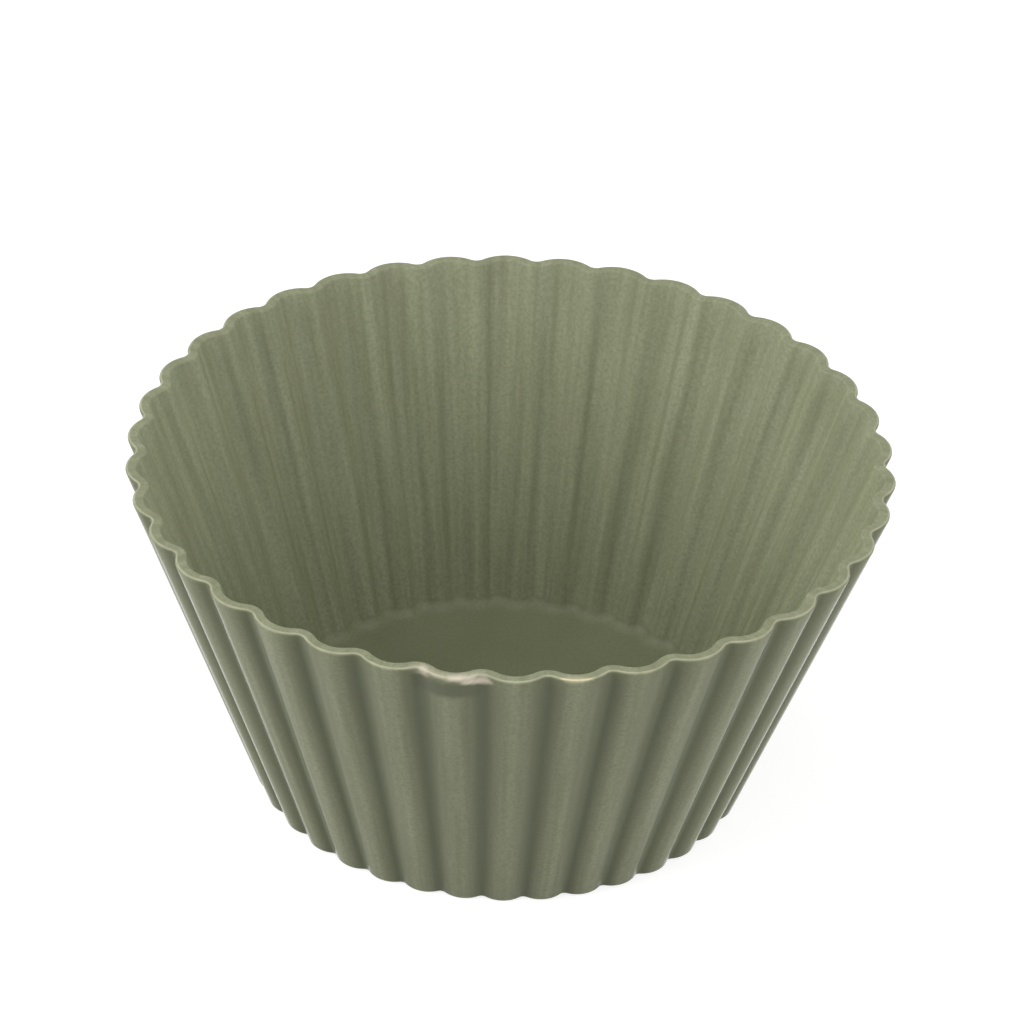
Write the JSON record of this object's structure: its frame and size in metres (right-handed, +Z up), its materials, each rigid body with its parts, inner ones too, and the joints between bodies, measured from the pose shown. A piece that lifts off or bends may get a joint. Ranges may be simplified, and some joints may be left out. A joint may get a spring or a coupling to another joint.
{
  "type": "silicone baking cup",
  "caption": "Fluted, tapered baking cup moulded in soft silicone, open at the top with a flat floor; holds one muffin and stands by itself.",
  "frame": {"origin": "centre of the underside of the base, on the surface that the cup stands on", "axes": "+Z up along the cup's axis, towards the open rim; the crest of a flute lies on +X and a groove on -Y, the front"},
  "size_m": [0.0698, 0.0696, 0.033],
  "materials": {
    "silicone": "satin sage green silicone rubber"
  },
  "bodies": {
    "root": {"cup": "silicone"}
  },
  "joints": []
}
